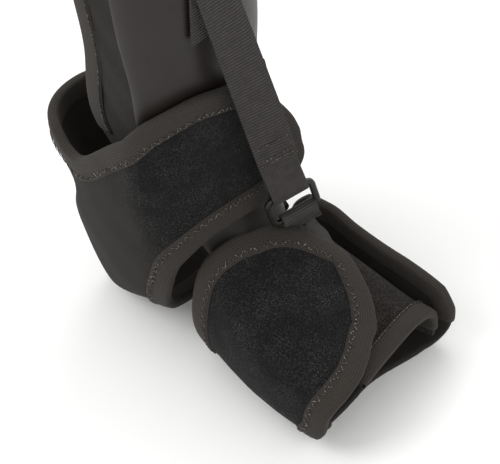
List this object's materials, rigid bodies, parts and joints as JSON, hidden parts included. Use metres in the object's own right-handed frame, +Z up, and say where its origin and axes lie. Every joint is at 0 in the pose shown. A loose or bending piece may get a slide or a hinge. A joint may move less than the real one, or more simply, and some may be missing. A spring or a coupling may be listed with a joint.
{
  "type": "plantar fasciitis night splint",
  "caption": "Dorsal night splint for a left foot: rigid shin shell with soft liner, ankle wrap, foot wrap, toe panel and a ring strap that pulls the toes up.",
  "frame": {"origin": "middle of the underside of the whole part's box, on the ground under the foot wrap's sole", "axes": "+Z up the shin, +X towards the toes, +Y towards the little toe of a left foot"},
  "size_m": [0.246, 0.1232, 0.3187],
  "materials": {
    "shell_plastic": "satin dark grey moulded plastic",
    "liner_foam": "dark cloth-faced foam",
    "binding": "ribbed dark grey stretch binding",
    "pile_cloth": "near-black loop pile on neoprene",
    "hook_cloth": "brownish-black brushed fibre",
    "ring_plastic": "semi-gloss black moulded plastic",
    "webbing": "dark grey woven webbing"
  },
  "bodies": {
    "root": {"dorsal_shell": "shell_plastic", "shell_liner": "liner_foam", "liner_tape": "binding", "ankle_wrap": "pile_cloth", "ankle_wrap_tape": "binding", "foot_wrap": "pile_cloth", "foot_flap_tape": "binding", "foot_wall_tape": "binding", "toe_panel": "hook_cloth", "toe_panel_tape": "binding", "strap_ring": "ring_plastic", "strap_loop": "webbing", "pull_strap": "webbing", "ring_tab": "webbing"}
  },
  "joints": []
}
